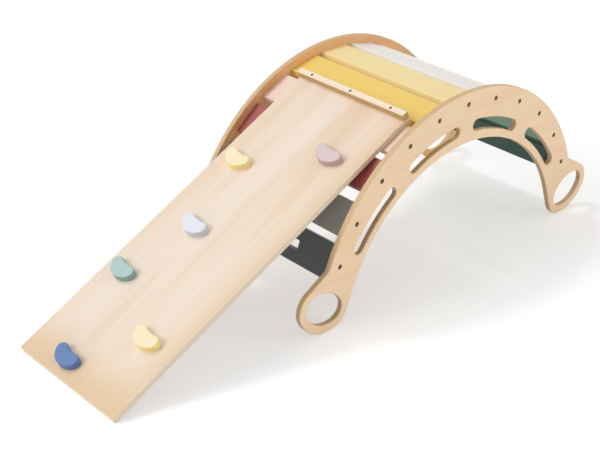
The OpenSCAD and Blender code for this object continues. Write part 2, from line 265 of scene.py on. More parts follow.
def add_coat(
    tree: Tree,
    tone: Socket,
    gloss: Union[float, Socket],
    height: Socket,
    strength: float,
    distance: float,
) -> None:
    """Adds the surface of coated wood: its relief, its shader and the material's output.

    Args:
        tree: the material's node tree.
        tone: its colour.
        gloss: its roughness.
        height: height of the relief, from 0 to 1.
        strength: strength of the relief.
        distance: real height of the relief.
    """
    inputs = {"Height": height, "Strength": strength, "Distance": distance}
    bump = add_node(tree, "ShaderNodeBump", inputs).outputs[0]
    inputs = {"Base Color": tone, "Roughness": gloss, "IOR": 1.5, "Normal": bump}
    shader = add_node(tree, "ShaderNodeBsdfPrincipled", inputs)
    add_node(tree, "ShaderNodeOutputMaterial", {"Surface": shader.outputs[0]})


@dataclass(frozen=True)
class WarmRim:
    """Where the face of a plywood sheet turns warmer: towards its long edges and one end.

    Attributes:
        middle: the sheet's middle line, along the wood's own Y.
        start: distance from that line at which the warmer tone starts.
        full: distance from that line at which it is reached.
        end: the sheet's warmer end, along the wood's own X.
        end_reach: how far the warmer tone reaches from that end.
        share: strength of the warmer tone, from 0 to 1.
        side_sway: how far noise moves the border along the long edges, to either side.
        end_sway: how far noise moves the border at the end, to either side.
    """

    middle: float
    start: float
    full: float
    end: float
    end_reach: float
    share: float
    side_sway: float = 60 * MM
    end_sway: float = 100 * MM

    def build(self, tree: Tree, own: Socket, broad: Socket) -> Socket:
        """Adds the nodes that say how warm the sheet is.

        Args:
            tree: the material's node tree.
            own: place along the wood's own axes.
            broad: noise that keeps the border uneven.

        Returns:
            The share of the warmer tone.
        """
        place = add_node(tree, "ShaderNodeSeparateXYZ", (own,)).outputs
        off = add_node(tree, MATH, (place["Y"], self.middle), operation="SUBTRACT").outputs[0]
        off = add_node(tree, MATH, (off,), operation="ABSOLUTE").outputs[0]
        off, along = (
            add_node(tree, MATH, (broad, 2 * sway, source), operation="MULTIPLY_ADD").outputs[0]
            for sway, source in ((self.side_sway, off), (self.end_sway, place["X"]))
        )
        start = self.end + self.end_sway
        sides, foot = (
            add_node(tree, RANGE, inputs, **EASED).outputs[0]
            for inputs in (
                (off, self.start + self.side_sway, self.full + self.side_sway, 0.0, self.share),
                (along, start, start + self.end_reach, self.share, 0.0),
            )
        )
        return add_node(tree, MATH, (sides, foot), operation="MAXIMUM").outputs[0]


@dataclass(frozen=True)
class BirchPly:
    """Birch plywood with a clear matt lacquer.

    The rotary-cut face veneers are pale with fine lengthwise streaks and a few broader, warmer
    ones. The sawn edges show the plies: light long-grain ones between darker end-grain ones.

    Attributes:
        name: name of the material.
        grain: how the wood lies in the piece.
        pale: colour of the face veneer.
        warm: colour of its broader streaks.
        fine: colour of its fine streaks.
        edge_light: colour of the long-grain plies on an edge.
        edge_dark: colour of the end-grain plies on an edge.
        ply: thickness of a ply in metres. Birch plies are about 1.4 mm.
        band: width of the broader streaks.
        streaks: strength of the fine streaks, from 0 to 1.
        figure: strength of the arched figure, from 0 to 1.
        rim: where the sheet turns warmer, or None.
    """

    name: str
    grain: Grain
    pale: str
    warm: str
    fine: str
    edge_light: str
    edge_dark: str
    ply: float = 1.36 * MM
    band: float = 40 * MM
    streaks: float = 0.4
    figure: float = 0.2
    rim: Union[WarmRim, None] = None

    def veneer(self, tree: Tree, own: Socket, streak: Socket) -> Socket:
        """Adds the nodes of the face veneer.

        Args:
            tree: the material's node tree.
            own: place along the wood's own axes.
            streak: noise of the fine streaks.

        Returns:
            The veneer's colour.
        """
        # Broad streaks, twelve times as long as they are wide
        across = 1.0 / self.band
        noise = {"Detail": 3.0, "Roughness": 0.55, "Distortion": 0.35}
        broad = grain_streaks(tree, own, across / 12, across, noise)
        # Arched figure of the rotary-cut veneer, with lines 12 to 30 mm apart
        inputs = {"Vector": own, "Scale": (0.9, 9.0, 9.0)}
        place = add_node(tree, "ShaderNodeMapping", inputs).outputs[0]
        inputs = {"Vector": place, "Scale": 1.6, "Distortion": 5.5, "Detail": 2.0}
        inputs["Detail Scale"] = 0.8
        bands = {"wave_type": "BANDS", "bands_direction": "Y", "wave_profile": "SIN"}
        figure = add_node(tree, "ShaderNodeTexWave", inputs, **bands).outputs["Fac"]
        broad_part = add_node(tree, RANGE, (broad, 0.42, 0.72, 0.0, 0.6), **EASED).outputs[0]
        if self.rim:
            inputs = (broad_part, self.rim.build(tree, own, broad))
            broad_part = add_node(tree, MATH, inputs, operation="MAXIMUM").outputs[0]
        streak_part = add_node(tree, RANGE, (streak, 0.47, 0.8, 0.0, self.streaks)).outputs[0]
        inputs = (figure, 0.7, 1.0, 0.0, self.figure)
        figure_part = add_node(tree, RANGE, inputs, **EASED).outputs[0]
        parts = ((broad_part, self.warm), (streak_part, self.fine), (figure_part, self.fine))
        tone: Tone = linear(self.pale)
        for part, other in parts:
            inputs = {0: part, 6: tone, 7: linear(other)}
            tone = add_node(tree, MIX, inputs, data_type="RGBA").outputs[2]
        return tone

    def plies(self, tree: Tree, own: Socket) -> Socket:
        """Adds the nodes of a sawn edge.

        Args:
            tree: the material's node tree.
            own: place along the wood's own axes.

        Returns:
            The edge's colour.
        """
        # The plies are counted from the middle one
        layer = add_node(tree, "ShaderNodeSeparateXYZ", (own,)).outputs["Z"]
        for operation, value in (("DIVIDE", self.ply), ("ADD", 0.5), ("PINGPONG", 1.0)):
            layer = add_node(tree, MATH, (layer, value), operation=operation).outputs[0]
        layer = add_node(tree, RANGE, (layer, 0.38, 0.62), **EASED).outputs[0]
        # End grain is mottled, in spots about 3 mm across
        inputs = {"Vector": own, "Scale": 320.0, "Detail": 3.0, "Roughness": 0.6}
        spots = add_node(tree, NOISE, inputs).outputs["Fac"]
        spots = add_node(tree, RANGE, (spots, 0.4, 0.75, 0.0, 0.35)).outputs[0]
        tone: Tone = linear(self.edge_light)
        for part in (layer, spots):
            inputs = {0: part, 6: tone, 7: linear(self.edge_dark)}
            tone = add_node(tree, MIX, inputs, data_type="RGBA").outputs[2]
        return tone

    def build(self) -> Material:
        """Builds the finish.

        Returns:
            The material.
        """
        material = empty_material(self.name)
        tree = material.node_tree
        own = self.grain.place(tree)
        # Fine streaks, about 2.5 mm wide and 70 mm long, twice as coarse as birch's own
        streak = grain_streaks(tree, own, 14.0, 380.0, {"Detail": 4.0, "Roughness": 0.65})
        # A face is where the surface looks along the wood's own Z
        face = add_node(tree, MATH, (self.grain.facing(tree),), operation="ABSOLUTE").outputs[0]
        face = add_node(tree, RANGE, (face, 0.72, 0.93), **EASED).outputs[0]
        inputs = {0: face, 6: self.plies(tree, own), 7: self.veneer(tree, own, streak)}
        tone = add_node(tree, MIX, inputs, data_type="RGBA").outputs[2]
        gloss = add_node(tree, RANGE, (streak, 0.3, 0.7, 0.5, 0.62)).outputs[0]
        add_coat(tree, tone, gloss, streak, 0.25, 0.1 * MM)
        return material


@dataclass(frozen=True)
class PlainWood:
    """Planed or turned solid wood with a clear matt lacquer, or none.

    Attributes:
        name: name of the material.
        grain: how the wood lies in the piece.
        pale: colour of the early wood.
        dark: colour of the late wood and the fine rays.
    """

    name: str
    grain: Grain
    pale: str = "#eed5b2"
    dark: str = "#cfa374"

    def build(self) -> Material:
        """Builds the finish.

        Returns:
            The material.
        """
        material = empty_material(self.name)
        tree = material.node_tree
        # Growth rings, about 5 mm apart, drawn out along the grain
        noise = {"Detail": 5.0, "Roughness": 0.6, "Distortion": 0.4}
        rings = grain_streaks(tree, self.grain.place(tree), 6.0, 190.0, noise)
        share = add_node(tree, RANGE, (rings, 0.38, 0.75, 0.0, 0.8)).outputs[0]
        inputs = {0: share, 6: linear(self.pale), 7: linear(self.dark)}
        tone = add_node(tree, MIX, inputs, data_type="RGBA").outputs[2]
        add_coat(tree, tone, 0.58, rings, 0.25, 0.1 * MM)
        return material


@dataclass(frozen=True)
class SatinPaint:
    """Water-based satin paint, sprayed on sanded wood.

    The grain shows through as a faint relief along the piece, over the fine ripple of the spray,
    and the tone varies a little with the thickness of the coat.

    Attributes:
        name: name of the material.
        tone: colour of the paint.
        grain: how the wood lies in the piece.
        depth: how much the tone varies, from 0 to 1.
        sides: darker colour painted on the piece's sides as their shade, or None.
    """

    name: str
    tone: str
    grain: Grain = Grain((0.0, 0.0, 90.0))
    depth: float = 0.022
    sides: Union[str, None] = None

    def build(self) -> Material:
        """Builds the finish.

        Returns:
            The material.
        """
        material = empty_material(self.name)
        tree = material.node_tree
        own = self.grain.place(tree)
        # Grain under the paint, in ridges about 3 mm wide and 80 mm long
        ridges = grain_streaks(tree, own, 12.0, 330.0, {"Detail": 3.0, "Roughness": 0.6})
        # Ripple of the sprayed coat, about 2 mm across, and its thickness, in clouds of 80 mm
        ripple, cloud = (
            add_node(tree, NOISE, {"Vector": own, "Scale": scale, "Detail": detail}).outputs["Fac"]
            for scale, detail in ((500.0, 1.0), (12.0, 3.0))
        )
        shades = tuple(
            add_node(tree, RANGE, (source, 0.3, 0.7, 1 - self.depth, 1 + self.depth)).outputs[0]
            for source in (cloud, ridges)
        )
        tone: Tone = linear(self.tone)
        if self.sides:
            # A top is where the surface looks along the wood's own Z; the sides get the painted
            # shade
            top = add_node(tree, RANGE, (self.grain.facing(tree), 0.35, 0.9), **EASED).outputs[0]
            inputs = {0: top, 6: linear(self.sides), 7: tone}
            tone = add_node(tree, MIX, inputs, data_type="RGBA").outputs[2]
        share = add_node(tree, MATH, shades, operation="MULTIPLY").outputs[0]
        inputs = {"Color": tone, "Value": share}
        tone = add_node(tree, "ShaderNodeHueSaturation", inputs).outputs[0]
        height = add_node(tree, MATH, (ripple, 0.5, ridges), operation="MULTIPLY_ADD").outputs[0]
        gloss = add_node(tree, RANGE, (cloud, 0.3, 0.7, 0.4, 0.5)).outputs[0]
        add_coat(tree, tone, gloss, height, 0.18, 0.05 * MM)
        return material


@dataclass(frozen=True)
class ZincPlatedSteel:
    """Cold-formed steel with bright zinc plating: greyish, slightly blotched and softly glossy.

    Attributes:
        name: name of the material.
        tone: colour of the plating, darkened to paint in the dark surroundings that it reflects.
        blotch: colour of its duller spots.
    """

    name: str = "zinc_plated_steel"
    # Darker than bare zinc: a painted reflection of dark surroundings
    tone: str = "#857b6d"
    blotch: str = "#574f45"

    def build(self) -> Material:
        """Builds the finish.

        Returns:
            The material.
        """
        material = empty_material(self.name)
        tree = material.node_tree
        place = add_node(tree, "ShaderNodeTexCoord").outputs["Object"]
        # Crystals of the plating, drawn about 1 mm across so that they show
        inputs = {"Vector": place, "Scale": 900.0, "Detail": 3.0}
        spots = add_node(tree, NOISE, inputs).outputs["Fac"]
        inputs = {0: spots, 6: linear(self.tone), 7: linear(self.blotch)}
        tone = add_node(tree, MIX, inputs, data_type="RGBA").outputs[2]
        gloss = add_node(tree, RANGE, (spots, 0.0, 1.0, 0.22, 0.42)).outputs[0]
        inputs = {"Base Color": tone, "Roughness": gloss, "Metallic": 1.0}
        shader = add_node(tree, "ShaderNodeBsdfPrincipled", inputs)
        add_node(tree, "ShaderNodeOutputMaterial", {"Surface": shader.outputs[0]})
        return material


# ---- Fixings ----


class Drive(Enum):
    """Shape that a driver turns a fixing by."""

    HEX_SOCKET = "hex socket"
    CROSS = "cross recess"
    SLOT = "slot"


# A driver's blade is this many times as broad as it is thick
BLADE_BREADTH = {Drive.CROSS: 3.2, Drive.SLOT: 6.0}
# Breadth of a cross recess at its bottom, as a share of that at its mouth
CROSS_TAPER = 0.45
# Edges that turn by more than this many degrees stay sharp in the shading
SHARP_ANGLE = 35


@dataclass(frozen=True)
class Thread:
    """A screw thread.

    Attributes:
        start: where it starts, from the fixing's outer end.
        length: its length.
        pitch: distance from one turn to the next.
        ridge: its height over the core.
    """

    start: float
    length: float
    pitch: float
    ridge: float


@dataclass(frozen=True)
class Fixing:
    """A turned metal fixing along +Z, from its outer end at the origin into the wood.

    Attributes:
        name: name of its source mesh.
        profile: radius and depth of each corner of its side.
        drive: shape that a driver turns it by.
        drive_size: width of that shape.
        drive_depth: depth of that shape.
        thread: its thread, or None.
        cross_bore: radius of a bore across its middle, or 0.
        sides: sides of its round form.
    """

    name: str
    profile: Tuple[Tuple[float, float], ...]
    drive: Drive
    drive_size: float
    drive_depth: float
    thread: Union[Thread, None] = None
    cross_bore: float = 0.0
    sides: int = 32

    def turned(self) -> bpy.types.Mesh:
        """Turns the profile about Z.

        Returns:
            The closed mesh.
        """
        form = bmesh.new()
        rings = [
            [
                form.verts.new((r * math.cos(a), r * math.sin(a), z))
                for a in (math.tau * k / self.sides for k in range(self.sides))
            ]
            for r, z in self.profile
        ]
        for low, high in zip(rings, rings[1:]):
            for k in range(self.sides):
                n = (k + 1) % self.sides
                form.faces.new((low[n], low[k], high[k], high[n]))
        form.faces.new(rings[0])
        form.faces.new(list(reversed(rings[-1])))
        bmesh.ops.recalc_face_normals(form, faces=form.faces)
        mesh = bpy.data.meshes.new(self.name)
        form.to_mesh(mesh)
        form.free()
        return mesh

    def cutters(self) -> List[Object]:
        """Builds the shapes that are cut out of the turned form.

        Returns:
            One object for each.
        """
        made: List[Object] = []
        size, height = self.drive_size, 2 * self.drive_depth
        if self.drive is Drive.HEX_SOCKET:
            made.append(prism("socket", 6, size / math.sqrt(3), height, Matrix()))
        else:
            crossed = self.drive is Drive.CROSS
            thickness = size / BLADE_BREADTH[self.drive]
            for turn in (0.0, 90.0) if crossed else (0.0,):
                form = bmesh.new()
                bmesh.ops.create_cube(form, size=1.0)
                for vertex in form.verts:
                    x, y, z = vertex.co
                    taper = CROSS_TAPER if z > 0 and crossed else 1.0
                    vertex.co = Vector((x * size * taper, y * thickness, z * height))
                spin = Matrix.Rotation(math.radians(turn), 3, "Z")
                bmesh.ops.rotate(form, verts=form.verts, matrix=spin)
                made.append(as_object(form, f"blade_{turn:.0f}"))
        if self.cross_bore:
            lying = Matrix.Rotation(math.radians(90), 4, "X")
            middle = Matrix.Translation((0, 0, self.profile[-1][1] / 2))
            length = 4 * max(r for r, _ in self.profile)
            made.append(prism("bore", 24, self.cross_bore, length, middle @ lying))
        return made

    def build(self) -> Object:
        """Builds the source object, with its drive and bore cut out.

        Returns:
            The object.
        """
        piece = linked(self.name, self.turned())
        cutters = self.cutters()
        for cutter in cutters:
            cut = piece.modifiers.new(cutter.name, "BOOLEAN")
            cut.operation = "DIFFERENCE"
            cut.solver = "EXACT"
            cut.object = cutter
        piece.data = baked_mesh(piece, self.name)
        piece.modifiers.clear()
        for cutter in cutters:
            bpy.data.objects.remove(cutter)
        return piece


def as_object(form: bmesh.types.BMesh, name: str) -> Object:
    """Turns a form into an object.

    Args:
        form: the form, which is freed.
        name: name of the object.

    Returns:
        The object.
    """
    mesh = bpy.data.meshes.new(name)
    bmesh.ops.recalc_face_normals(form, faces=form.faces)
    form.to_mesh(mesh)
    form.free()
    return linked(name, mesh)


def prism(name: str, sides: int, radius: float, height: float, place: Matrix) -> Object:
    """Builds a prism.

    Args:
        name: name of the object.
        sides: number of its sides.
        radius: distance of its corners from its axis.
        height: its height.
        place: place and turn of its middle and axis, which is Z.

    Returns:
        The object.
    """
    form = bmesh.new()
    bmesh.ops.create_cone(
        form,
        cap_ends=True,
        segments=sides,
        radius1=radius,
        radius2=radius,
        depth=height,
        matrix=place,
    )
    return as_object(form, name)


def baked_mesh(piece: Object, name: str) -> bpy.types.Mesh:
    """Bakes an object's modifiers.

    Args:
        piece: the object.
        name: name of the mesh.

    Returns:
        The plain mesh that they give.
    """
    bpy.context.view_layer.update()
    result = piece.evaluated_get(bpy.context.evaluated_depsgraph_get())
    mesh = bpy.data.meshes.new_from_object(result)
    mesh.name = name
    return mesh


@dataclass
class FixingSet:
    """Equal fixings at many places, made by Geometry Nodes from one source.

    Attributes:
        name: name of the finished piece.
        fixing: the fixing that repeats.
        places: outer end of each fixing.
        aims: direction of each fixing, into the wood.
        nodes: CAD nodes that the piece stands for.
        body: body that the piece rides on.
        slot: material slot of the record; it is not used.
        ups: direction that each fixing's own Y is set to, or none for a random turn.
        seed: seed of the random turns.
    """

    name: str
    fixing: Fixing
    places: List[Vector]
    aims: List[Vector]
    nodes: Tuple[str, ...]
    body: str
    slot: str = "zinc_steel"
    ups: List[Vector] = field(default_factory=list)
    seed: int = 7

    def layout(self) -> Object:
        """Builds an object with one point for each fixing, which holds its aim and its own Y.

        Returns:
            The object.
        """
        mesh = bpy.data.meshes.new(self.name)
        mesh.from_pydata([tuple(p) for p in self.places], [], [])
        aims = mesh.attributes.new("aim", "FLOAT_VECTOR", "POINT")
        aims.data.foreach_set("vector", [x for aim in self.aims for x in aim])
        ups = mesh.attributes.new("up", "FLOAT_VECTOR", "POINT")
        ups.data.foreach_set("vector", [x for up in self.ups or self.aims for x in up])
        return linked(self.name, mesh)

    def threaded(self, tree: Tree, given: Any, source: Socket) -> Socket:
        """Adds the nodes that wind a thread round the fixing.

        Args:
            tree: the piece's node tree.
            given: the tree's inputs.
            source: the fixing without its thread.

        Returns:
            The fixing with its thread.
        """
        spiral = {"Resolution": 20, "Rotations": given["Thread turns"]}
        spiral.update({"Start Radius": given["Core radius"], "End Radius": given["Core radius"]})
        spiral["Height"] = given["Thread length"]
        path = add_node(tree, "GeometryNodeCurveSpiral", spiral).outputs[0]
        circle = {"Resolution": 3, "Radius": given["Ridge"]}
        section = add_node(tree, "GeometryNodeCurvePrimitiveCircle", circle, mode="RADIUS")
        inputs = {"Curve": path, "Profile Curve": section.outputs["Curve"], "Fill Caps": True}
        ridge = add_node(tree, "GeometryNodeCurveToMesh", inputs).outputs[0]
        rise = add_node(tree, "ShaderNodeCombineXYZ", {"Z": given["Thread start"]}).outputs[0]
        inputs = {"Geometry": ridge, "Translation": rise}
        ridge = add_node(tree, "GeometryNodeTransform", inputs).outputs[0]
        joined = add_node(tree, "GeometryNodeJoinGeometry")
        tree.links.new(ridge, joined.inputs[0])
        tree.links.new(source, joined.inputs[0])
        return joined.outputs[0]

    def turns(self, tree: Tree, given: Any) -> Socket:
        """Adds the nodes that aim each fixing and turn it about its axis.

        Args:
            tree: the piece's node tree.
            given: the tree's inputs.

        Returns:
            The rotation at each point.
        """
        aim, up = (
            add_node(
                tree, "GeometryNodeInputNamedAttribute", {"Name": name}, data_type="FLOAT_VECTOR"
            ).outputs["Attribute"]
            for name in ("aim", "up")
        )
        align = "FunctionNodeAlignRotationToVector"
        turned = add_node(tree, align, {"Vector": aim}, axis="Z").outputs[0]
        if self.ups:
            inputs = {"Rotation": turned, "Vector": up}
            turned = add_node(tree, align, inputs, axis="Y", pivot_axis="Z").outputs[0]
        # Inputs 2 and 3 are the least and the greatest turn
        inputs = {2: 0.0, 3: given["Random turn"], "Seed": given["Seed"]}
        angle = add_node(tree, "FunctionNodeRandomValue", inputs, data_type="FLOAT").outputs[1]
        inputs = {"Axis": (0.0, 0.0, 1.0), "Angle": angle}
        twist = add_node(tree, "FunctionNodeAxisAngleToRotation", inputs).outputs[0]
        inputs = {"Rotation": turned, "Rotate By": twist}
        return add_node(
            tree, "FunctionNodeRotateRotation", inputs, rotation_space="LOCAL"
        ).outputs[0]

    def tree(self) -> Tuple[Tree, Dict[str, str]]:
        """Builds the node tree that sets a fixing, with its thread, at each point.

        Returns:
            The tree, and the identifier of each named input.
        """
        tree = bpy.data.node_groups.new(self.name, "GeometryNodeTree")
        kinds = {
            "Places": "Geometry",
            "Fixing": "Object",
            "Finish": "Material",
            "Thread start": "Float",
            "Thread length": "Float",
            "Thread turns": "Float",
            "Core radius": "Float",
            "Ridge": "Float",
            "Random turn": "Float",
            "Seed": "Int",
        }
        identifiers = {
            name: tree.interface.new_socket(
                name, in_out="INPUT", socket_type=f"NodeSocket{kind}"
            ).identifier
            for name, kind in kinds.items()
        }
        tree.interface.new_socket("Fixings", in_out="OUTPUT", socket_type="NodeSocketGeometry")
        given = add_node(tree, "NodeGroupInput").outputs
        inputs = {"Object": given["Fixing"], "As Instance": False}
        source = add_node(tree, "GeometryNodeObjectInfo", inputs).outputs["Geometry"]
        if self.fixing.thread:
            source = self.threaded(tree, given, source)
        inputs = {"Points": given["Places"], "Instance": source}
        inputs["Rotation"] = self.turns(tree, given)
        spread = add_node(tree, "GeometryNodeInstanceOnPoints", inputs).outputs[0]
        real = add_node(tree, "GeometryNodeRealizeInstances", {"Geometry": spread}).outputs[0]
        inputs = {"Geometry": real, "Material": given["Finish"]}
        done = add_node(tree, "GeometryNodeSetMaterial", inputs).outputs[0]
        add_node(tree, "NodeGroupOutput", {"Fixings": done})
        return tree, identifiers

    def build(self, finish: Material) -> Object:
        """Builds the piece.

        Args:
            finish: its material.

        Returns:
            The finished piece, which rides on its body.
        """
        source = self.fixing.build()
        piece = self.layout()
        tree, identifiers = self.tree()
        modifier = piece.modifiers.new("fixings", "NODES")
        modifier.node_group = tree
        thread = self.fixing.thread or Thread(0.0, 0.0, 1.0, 0.0)
        core = min(r for r, _ in self.fixing.profile[2:])
        values = {
            "Fixing": source,
            "Finish": finish,
            "Thread start": thread.start,
            "Thread length": thread.length,
            "Thread turns": thread.length / thread.pitch,
            "Core radius": core,
            "Ridge": thread.ridge,
            "Random turn": 0.0 if self.ups else math.tau,
            "Seed": self.seed,
        }
        for name, value in values.items():
            modifier[identifiers[name]] = value
        mesh = baked_mesh(piece, self.name)
        piece.modifiers.clear()
        piece.data = mesh
        mesh.shade_smooth()
        mesh.set_sharp_from_angle(angle=math.radians(SHARP_ANGLE))
        bpy.data.objects.remove(source)
        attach(piece, self.body)
        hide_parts(*self.nodes)
        log.info("%s: %d fixings, %d faces", self.name, len(self.places), len(mesh.polygons))
        return piece


# ---- The arch ----


@dataclass
class ArchSides:
    """The two side panels, cut from birch plywood.

    Attributes:
        turn: rotation from the object's axes to the plywood's own, with the grain along the arch.
        veneers: each panel's pale, warm and fine-streak colours. The far one is warmer and more
            orange, for its own tone and as painted warm light bounced off the yellow slats.
    """

    turn: Triple = (90.0, 0.0, 0.0)
    veneers: Dict[str, Tuple[str, str, str]] = field(
        default_factory=lambda: {
            "panel_near": ("#f7d8b3", "#f0cba2", "#e5bc92"),
            # The far panel's orange tones are partly painted warm light bounced off the yellow
            # slats
            "panel_far": ("#e8b67e", "#dda168", "#cb8f56"),
        }
    )

    def dress(self) -> None:
        """Gives each panel its plywood, with the plies counted from its middle."""
        for node, veneer in self.veneers.items():
            low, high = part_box(node)
            # The turn takes +Y to +Z
            grain = Grain(self.turn, (low.y + high.y) / 2)
            ply = BirchPly(
                f"birch_plywood_{node}",
                grain,
                *veneer,
                edge_light="#e5cba5",
                edge_dark="#be9564",
                streaks=0.3,
                figure=0.12,
            )
            dress(node, ply.build())


@dataclass
class Slats:
    """The eleven painted slats, from the lowest on the ramp's side.

    Attributes:
        paints: name and colour of each slat's paint.
    """

    paints: Tuple[Tuple[str, str], ...] = (
        ("slate", "#586369"),
        ("grey", "#9da49e"),
        ("wine", "#a65655"),
        ("blush", "#edd3c4"),
        ("honey", "#f0cd68"),
        ("straw", "#f4dd9e"),
        ("white", "#efeae5"),
        ("apricot", "#f4ebe4"),
        ("mint", "#a8cdc6"),
        ("sage", "#79a491"),
        ("forest", "#0f4535"),
    )

    def dress(self) -> None:
        """Paints each slat."""
        made: Dict[str, Material] = {}
        for number, (name, tone) in enumerate(self.paints, start=1):
            if name not in made:
                made[name] = SatinPaint(f"satin_paint_{name}", tone).build()
            dress(f"slat_{number}", made[name])


@dataclass
class SlatFixings:
    """Bolts, barrel nuts and dowels that join the slats to the side panels.

    Attributes:
        bolt_d: diameter of a bolt's shank.
        head_d: diameter of its head.
        head_h: height of its head.
        key: width across the flats of its socket.
        key_depth: depth of its socket.
        rim: width of the rounded rim of a head or nut.
        core_d: diameter of the thread's core.
        end: length of the bolt's chamfered end.
        thread_l: length of its thread, which stays two such ends away from its tip.
        pitch: distance from one turn of the thread to the next.
        ridge: height of the thread over its core.
        nut_bore: diameter of a barrel nut's threaded bore.
        nut_slot: depth of the slot in a barrel nut.
    """

    bolt_d: float = 6.0 * MM
    head_d: float = 13.0 * MM
    head_h: float = 3.6 * MM
    key: float = 4.0 * MM
    key_depth: float = 2.4 * MM
    rim: float = 0.5 * MM
    core_d: float = 5.5 * MM
    end: float = 1.0 * MM
    thread_l: float = 17.0 * MM
    pitch: float = 1.0 * MM
    ridge: float = 0.28 * MM
    nut_bore: float = 6.1 * MM
    nut_slot: float = 1.2 * MM

    def bolts(self, node: str, inward: Vector, finish: Material) -> None:
        """Builds the bolts of one side panel.

        Args:
            node: CAD node that they stand for.
            inward: direction from their heads into the wood.
            finish: their material.
        """
        solids = node_solids(node)
        side = float(inward.y)
        ends = [(solid[:, 1] * side).min() * side for solid in solids]
        length = float(np.ptp(solids[0][:, 1]))
        radius, shank, core = self.head_d / 2, self.bolt_d / 2, self.core_d / 2
        rim = self.rim
        # Below the head the shank narrows to the thread's core within 0.3 mm
        bolt = Fixing(
            "slat_bolt",
            (
                (radius - rim, 0.0),
                (radius - 0.15 * rim, 0.3 * rim),
                (radius, rim),
                (radius, self.head_h),
                (shank, self.head_h),
                (core, self.head_h + 0.3 * MM),
                (core, length - self.end),
                (shank - self.end, length),
            ),
            Drive.HEX_SOCKET,
            self.key,
            self.key_depth,
            Thread(length - self.thread_l - 2 * self.end, self.thread_l, self.pitch, self.ridge),
        )
        middles = [(solid.min(0) + solid.max(0)) / 2 for solid in solids]
        places = [Vector((middle[0], end, middle[2])) for middle, end in zip(middles, ends)]
        FixingSet(
            f"furniture_{node}", bolt, places, [inward] * len(places), (node,), "arch"
        ).build(finish)

    def nuts(self, finish: Material) -> None:
        """Builds the barrel nuts, whose slotted ends show on the slats' inner faces.

        Args:
            finish: their material.
        """
        solids = node_solids("barrel_nuts")
        middles = [(solid.min(0) + solid.max(0)) / 2 for solid in solids]
        centre = circle_centre([(m[0], m[2]) for m in middles])
        places: List[Vector] = []
        aims: List[Vector] = []
        for solid, middle in zip(solids, middles):
            out = Vector((middle[0] - centre[0], 0.0, middle[2] - centre[1])).normalized()
            length = float(np.ptp(solid @ np.array(out)))
            aims.append(out)
            places.append(Vector(middle) - out * length / 2)
            radius = float(np.ptp(solid[:, 1])) / 2
        rim = self.rim
        nut = Fixing(
            "barrel_nut",
            ((radius - rim, 0.0), (radius, rim), (radius, length - rim), (radius - rim, length)),
            Drive.SLOT,
            # The slot runs right across
            drive_size=radius * 3,
            drive_depth=self.nut_slot,
            cross_bore=self.nut_bore / 2,
        )
        FixingSet(
            "slotted_barrel_nuts",
            nut,
            places,
            aims,
            ("barrel_nuts",),
            "arch",
            ups=[Vector((0.0, 1.0, 0.0))] * len(places),
        ).build(finish)

    def build(self, steel: Material) -> None:
        """Builds the bolts and nuts, and gives the hidden dowels their beech.

        Args:
            steel: material of the bolts and nuts.
        """
        self.bolts("bolts_near", Vector((0, 1, 0)), steel)
        self.bolts("bolts_far", Vector((0, -1, 0)), steel)
        self.nuts(steel)
        beech = PlainWood("raw_beech_dowel", Grain((0.0, 0.0, 90.0)), "#e2c49c", "#c39a68")
        dress("slat_dowels", beech.build())


def circle_centre(points: Sequence[Tuple[float, float]]) -> Tuple[float, float]:
    """Finds the middle of the circle through points in a plane.

    Args:
        points: three or more points on the circle.

    Returns:
        The middle.
    """
    given = np.array(points, float)
    system = np.column_stack([2 * given, np.ones(len(given))])
    solution = np.linalg.lstsq(system, (given**2).sum(1), rcond=None)[0]
    return (float(solution[0]), float(solution[1]))


# ---- The ramp ----


